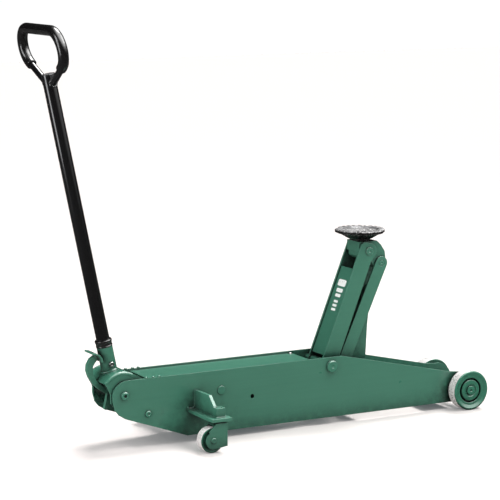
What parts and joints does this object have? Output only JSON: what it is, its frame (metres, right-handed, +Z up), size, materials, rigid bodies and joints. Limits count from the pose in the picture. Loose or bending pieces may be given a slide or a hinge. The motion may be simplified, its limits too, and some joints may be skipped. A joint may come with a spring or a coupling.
{
  "type": "trolley jack",
  "caption": "Long-chassis hydraulic trolley jack with raised lift arm, round saddle, upright pump handle with D grip, foot pedal, front wheels and rear swivel casters.",
  "frame": {"origin": "centre of the bounding box, on the floor", "axes": "+X to the front wheels, +Y to the left, +Z up"},
  "size_m": [1.2549, 0.406, 1.0518],
  "materials": {
    "green_paint": "semi-gloss green paint",
    "wheel_paint": "semi-gloss green paint, treads worn to bare metal",
    "black_paint": "gloss black paint",
    "black_rubber": "smooth satin rubber",
    "bare_steel": "machined",
    "cast_iron": "dark rough casting"
  },
  "bodies": {
    "chassis": {"side_plate_right": "green_paint", "side_plate_left": "green_paint", "cover_plate": "green_paint", "cover_screw_right": "bare_steel", "cover_screw_left": "bare_steel", "front_cross_plate": "green_paint", "front_axle": "wheel_paint", "axle_spacer_right": "green_paint", "axle_spacer_left": "green_paint", "arm_shaft": "green_paint", "arm_shaft_nut": "green_paint", "yoke_bolt_right": "green_paint", "yoke_bolt_left": "green_paint", "block_bolt_right": "green_paint", "block_bolt_left": "green_paint", "tank_bolt_right": "green_paint", "tank_bolt_left": "green_paint", "link_anchor": "green_paint", "link_foot_pin": "bare_steel", "caster_bracket_right": "green_paint", "caster_bracket_left": "green_paint", "pump_block": "cast_iron", "reservoir_tube": "cast_iron", "cylinder_tube": "bare_steel", "cylinder_gland": "cast_iron"},
    "front_wheel_right": {"front_wheel_right": "wheel_paint"},
    "front_wheel_left": {"front_wheel_left": "wheel_paint"},
    "caster_right": {"caster_fork_right": "green_paint", "caster_axle_right": "green_paint"},
    "caster_left": {"caster_fork_left": "green_paint", "caster_axle_left": "green_paint"},
    "caster_wheel_right": {"caster_wheel_right": "wheel_paint"},
    "caster_wheel_left": {"caster_wheel_left": "wheel_paint"},
    "yoke": {"handle_yoke": "green_paint", "handle_collar": "black_rubber", "retaining_screw": "bare_steel", "yoke_roller": "bare_steel", "yoke_roller_pin": "bare_steel"},
    "handle": {"handle_tube": "black_paint", "grip_rod": "black_paint", "grip_sleeve": "black_rubber"},
    "pedal": {"pedal_arm": "green_paint", "pedal_plate": "green_paint"},
    "lift_arm": {"arm_plate_right": "green_paint", "arm_plate_left": "green_paint", "arm_web": "green_paint", "crank_pin": "bare_steel", "crank_roller": "bare_steel"},
    "head": {"head_block": "green_paint", "head_pin": "green_paint", "head_pin_cap": "green_paint", "link_top_pin": "green_paint"},
    "saddle": {"saddle": "cast_iron"},
    "link": {"link_bar_right": "green_paint", "link_bar_left": "green_paint", "link_web": "green_paint"},
    "ram": {"ram": "bare_steel"},
    "pump_piston": {"pump_piston": "bare_steel"},
    "release_valve": {"release_valve": "bare_steel"}
  },
  "joints": [
    {"name": "front_wheel_spin_right", "type": "hinge", "parent": "chassis", "child": "front_wheel_right", "pos_m": [0.5744, -0.0915, 0.053], "axis": [0, 1, 0], "continuous": true},
    {"name": "caster_swivel_right", "type": "hinge", "parent": "chassis", "child": "caster_right", "pos_m": [-0.2256, -0.177, 0.09], "axis": [0, 0, 1], "continuous": true},
    {"name": "caster_wheel_spin_right", "type": "hinge", "parent": "caster_right", "child": "caster_wheel_right", "pos_m": [-0.2496, -0.177, 0.032], "axis": [0, 1, 0], "continuous": true},
    {"name": "front_wheel_spin_left", "type": "hinge", "parent": "chassis", "child": "front_wheel_left", "pos_m": [0.5744, 0.0915, 0.053], "axis": [0, 1, 0], "continuous": true},
    {"name": "caster_swivel_left", "type": "hinge", "parent": "chassis", "child": "caster_left", "pos_m": [-0.2256, 0.177, 0.09], "axis": [0, 0, 1], "continuous": true},
    {"name": "caster_wheel_spin_left", "type": "hinge", "parent": "caster_left", "child": "caster_wheel_left", "pos_m": [-0.2496, 0.177, 0.032], "axis": [0, 1, 0], "continuous": true},
    {"name": "handle_pump", "type": "hinge", "parent": "chassis", "child": "yoke", "pos_m": [-0.4287, 0, 0.1387], "axis": [0, -1, 0], "range_deg": [-12, 55]},
    {"name": "handle_twist", "type": "hinge", "parent": "yoke", "child": "handle", "pos_m": [-0.4287, 0, 0.1387], "axis": [-0.2028, 0, 0.9792], "range_deg": [0, 60], "stiffness_Nm_per_rad": 2},
    {"name": "pedal_press", "type": "hinge", "parent": "yoke", "child": "pedal", "pos_m": [-0.4287, 0, 0.1387], "axis": [0, -1, 0], "range_deg": [0, 20], "stiffness_Nm_per_rad": 6, "springref_deg": -20.05},
    {"name": "pump_stroke", "type": "slide", "parent": "chassis", "child": "pump_piston", "axis": [1, 0, 0], "range_m": [-0.0056, 0.0255]},
    {"name": "valve_turn", "type": "hinge", "parent": "chassis", "child": "release_valve", "pos_m": [-0.3556, 0.026, 0.118], "axis": [1, 0, 0], "range_deg": [0, 60]},
    {"name": "arm_lift", "type": "hinge", "parent": "chassis", "child": "lift_arm", "pos_m": [0.1639, 0, 0.1534], "axis": [0, -1, 0], "range_deg": [-74, 2]},
    {"name": "head_level", "type": "hinge", "parent": "lift_arm", "child": "head", "pos_m": [0.2934, 0, 0.4421], "axis": [0, -1, 0], "range_deg": [-2, 74]},
    {"name": "link_swing", "type": "hinge", "parent": "chassis", "child": "link", "pos_m": [0.206, 0, 0.1182], "axis": [0, -1, 0], "range_deg": [-74, 2]},
    {"name": "ram_extend", "type": "slide", "parent": "chassis", "child": "ram", "axis": [1, 0, 0], "range_m": [-0.0961, 0.0027]},
    {"name": "saddle_spin", "type": "hinge", "parent": "head", "child": "saddle", "pos_m": [0.2864, 0, 0.485], "axis": [0, 0, 1], "continuous": true}
  ],
  "couplings": [
    {"joint": "pump_stroke", "follows": "handle_pump", "m_per_rad": 0.02643},
    {"joint": "valve_turn", "follows": "handle_twist", "ratio": 1},
    {"joint": "head_level", "follows": "arm_lift", "ratio": -1},
    {"joint": "link_swing", "follows": "arm_lift", "ratio": 1},
    {"joint": "ram_extend", "follows": "arm_lift", "m_per_rad": 0.07426}
  ]
}
